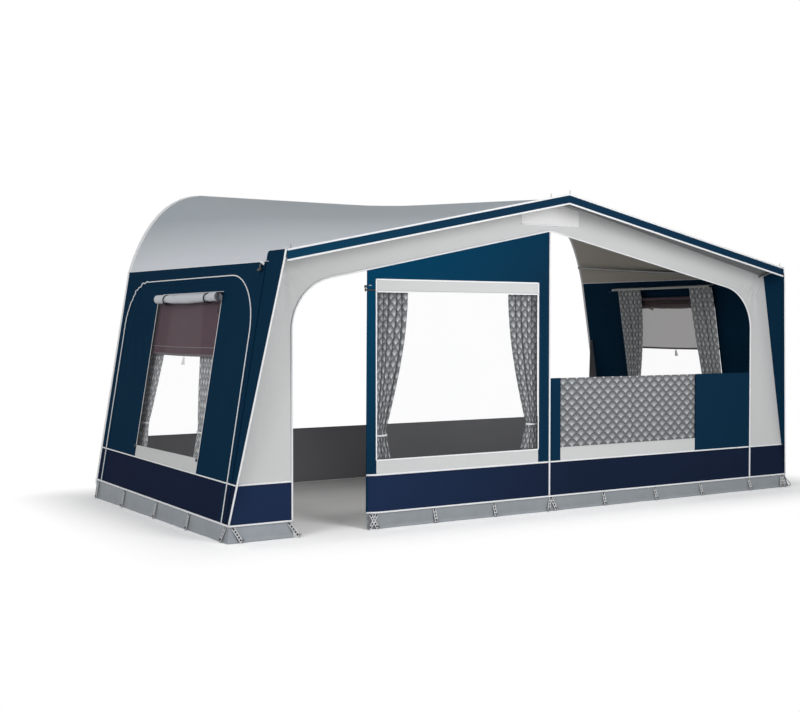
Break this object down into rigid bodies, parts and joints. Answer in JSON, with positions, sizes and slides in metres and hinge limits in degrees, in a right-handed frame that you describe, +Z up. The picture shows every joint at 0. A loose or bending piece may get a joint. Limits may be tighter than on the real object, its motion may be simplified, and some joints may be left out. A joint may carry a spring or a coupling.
{
  "type": "caravan awning",
  "caption": "Full caravan awning on a telescopic steel frame, with a hooded gable, a doorway, a half-folded front panel, zip-out side walls with windows, blinds, curtains and pegged mud flaps.",
  "frame": {"origin": "on the ground, at the centre of the bounding box's bottom face", "axes": "+X along the caravan's side, to the right seen from the front; +Y from the front wall to the caravan; +Z up"},
  "size_m": [5.5062, 2.7303, 2.504],
  "materials": {
    "canvas_grey": "coated weave, matt",
    "canvas_blue": "coated weave, matt",
    "foil_clear": "clear flexible window foil",
    "flap_grey": "coated cloth, satin",
    "skirt_grey": "coated cloth, satin",
    "trim_white": "smooth",
    "blind_mauve": "woven, matt",
    "curtain_grey": "printed woven cloth",
    "steel": "zinc coated",
    "plastic_dark": "moulded"
  },
  "bodies": {
    "awning": {"roof_left": "canvas_grey", "roof_right": "canvas_grey", "front_frame_left": "canvas_grey", "front_frame_right": "canvas_grey", "hood_left": "canvas_blue", "hood_right": "canvas_blue", "wing_left": "canvas_blue", "wing_right": "canvas_blue", "side_frame_left": "canvas_blue", "side_frame_right": "canvas_blue", "right_panel_lower": "canvas_blue", "right_window": "foil_clear", "right_curtain": "curtain_grey", "mud_flap_front": "flap_grey", "mud_flap_left": "flap_grey", "mud_flap_right": "flap_grey", "draught_skirt": "skirt_grey", "rail_bead": "trim_white", "leg_upper_left": "steel", "leg_upper_centre": "steel", "leg_upper_right": "steel", "gable_pole_left": "steel", "gable_pole_right": "steel", "apex_bracket": "plastic_dark", "roof_pole_outer_left": "steel", "roof_pole_outer_centre": "steel", "roof_pole_outer_right": "steel", "veranda_rail": "steel", "curtain_track_left": "trim_white", "curtain_track_right": "trim_white"},
    "middle_bay": {"middle_panel": "canvas_blue", "middle_window": "foil_clear", "middle_curtain_track": "trim_white"},
    "middle_curtain_left_bundle": {"middle_curtain_left": "curtain_grey"},
    "middle_curtain_right_bundle": {"middle_curtain_right": "curtain_grey"},
    "fold_lower": {"right_fold_lower": "canvas_blue"},
    "fold_upper": {"right_fold_upper": "canvas_blue"},
    "side_bay_left": {"side_panel_left": "canvas_blue", "side_window_left": "foil_clear", "storm_blind_left": "flap_grey", "blind_roller_left": "trim_white"},
    "side_bay_right": {"side_panel_right": "canvas_blue", "side_window_right": "foil_clear", "storm_blind_right": "flap_grey", "blind_roller_right": "trim_white"},
    "blind_left": {"roller_blind_left": "blind_mauve"},
    "blind_right": {"roller_blind_right": "blind_mauve"},
    "curtain_bundle_left_front": {"curtain_left_front": "curtain_grey"},
    "curtain_bundle_left_rear": {"curtain_left_rear": "curtain_grey"},
    "curtain_bundle_right_front": {"curtain_right_front": "curtain_grey"},
    "curtain_bundle_right_rear": {"curtain_right_rear": "curtain_grey"},
    "leg_left": {"leg_lower_left": "steel"},
    "leg_centre": {"leg_lower_centre": "steel"},
    "leg_right": {"leg_lower_right": "steel"},
    "knob_left": {"clamp_knob_left": "plastic_dark"},
    "knob_centre": {"clamp_knob_centre": "plastic_dark"},
    "knob_right": {"clamp_knob_right": "plastic_dark"},
    "roof_tube_left": {"roof_pole_inner_left": "steel"},
    "roof_tube_centre": {"roof_pole_inner_centre": "steel"},
    "roof_tube_right": {"roof_pole_inner_right": "steel"}
  },
  "joints": [
    {"name": "middle_bay_fold", "type": "hinge", "parent": "awning", "child": "middle_bay", "pos_m": [0, -1.13915, 0.11], "axis": [1, 0, 0], "range_deg": [0, 90]},
    {"name": "middle_curtain_left_slide", "type": "slide", "parent": "middle_bay", "child": "middle_curtain_left_bundle", "axis": [1, 0, 0], "range_m": [0, 0.4]},
    {"name": "middle_curtain_right_slide", "type": "slide", "parent": "middle_bay", "child": "middle_curtain_right_bundle", "axis": [-1, 0, 0], "range_m": [0, 0.4]},
    {"name": "fold_lower_swing", "type": "hinge", "parent": "awning", "child": "fold_lower", "pos_m": [0, -1.1076, 0.985], "axis": [1, 0, 0], "range_deg": [0, 178]},
    {"name": "fold_upper_swing", "type": "hinge", "parent": "fold_lower", "child": "fold_upper", "pos_m": [0, -1.09315, 0.42662], "axis": [1, 0, 0], "range_deg": [-178, 0]},
    {"name": "side_bay_left_fold", "type": "hinge", "parent": "awning", "child": "side_bay_left", "pos_m": [-2.6, -1.13915, 0.11], "axis": [0.0423, -0.9991, 0], "range_deg": [0, 90]},
    {"name": "side_bay_right_fold", "type": "hinge", "parent": "awning", "child": "side_bay_right", "pos_m": [2.6, -1.13915, 0.11], "axis": [0.0423, 0.9991, 0], "range_deg": [0, 90]},
    {"name": "blind_left_draw", "type": "slide", "parent": "side_bay_left", "child": "blind_left", "axis": [0.1628, 0, 0.9867], "range_m": [-0.68, 0.4], "deforming": ["roller_blind_left"]},
    {"name": "blind_right_draw", "type": "slide", "parent": "side_bay_right", "child": "blind_right", "axis": [-0.1628, 0, 0.9867], "range_m": [-0.68, 0.4], "deforming": ["roller_blind_right"]},
    {"name": "curtain_left_front_slide", "type": "slide", "parent": "awning", "child": "curtain_bundle_left_front", "axis": [-0.0423, 0.9991, 0], "range_m": [0, 0.25]},
    {"name": "curtain_left_rear_slide", "type": "slide", "parent": "awning", "child": "curtain_bundle_left_rear", "axis": [0.0423, -0.9991, 0], "range_m": [0, 0.25]},
    {"name": "curtain_right_front_slide", "type": "slide", "parent": "awning", "child": "curtain_bundle_right_front", "axis": [0.0423, 0.9991, 0], "range_m": [0, 0.25]},
    {"name": "curtain_right_rear_slide", "type": "slide", "parent": "awning", "child": "curtain_bundle_right_rear", "axis": [-0.0423, -0.9991, 0], "range_m": [0, 0.25]},
    {"name": "leg_left_slide", "type": "slide", "parent": "awning", "child": "leg_left", "axis": [0.1628, 0, 0.9867], "range_m": [0, 0.35]},
    {"name": "leg_centre_slide", "type": "slide", "parent": "awning", "child": "leg_centre", "axis": [0, 0, 1], "range_m": [0, 0.35]},
    {"name": "leg_right_slide", "type": "slide", "parent": "awning", "child": "leg_right", "axis": [-0.1628, 0, 0.9867], "range_m": [0, 0.35]},
    {"name": "knob_left_turn", "type": "hinge", "parent": "awning", "child": "knob_left", "pos_m": [-2.42202, -1.05785, 0.825], "axis": [0, 1, 0], "range_deg": [0, 270]},
    {"name": "knob_centre_turn", "type": "hinge", "parent": "awning", "child": "knob_centre", "pos_m": [0, -1.05785, 0.925], "axis": [0, 1, 0], "range_deg": [0, 270]},
    {"name": "knob_right_turn", "type": "hinge", "parent": "awning", "child": "knob_right", "pos_m": [2.42202, -1.05785, 0.825], "axis": [0, 1, 0], "range_deg": [0, 270]},
    {"name": "roof_tube_left_slide", "type": "slide", "parent": "awning", "child": "roof_tube_left", "axis": [0.0651, -0.9955, -0.0695], "range_m": [0, 0.25]},
    {"name": "roof_tube_centre_slide", "type": "slide", "parent": "awning", "child": "roof_tube_centre", "axis": [0, -0.9981, -0.0618], "range_m": [0, 0.25]},
    {"name": "roof_tube_right_slide", "type": "slide", "parent": "awning", "child": "roof_tube_right", "axis": [-0.0703, -0.9948, -0.0742], "range_m": [0, 0.25]}
  ],
  "couplings": [
    {"joint": "fold_upper_swing", "follows": "fold_lower_swing", "ratio": -1}
  ]
}
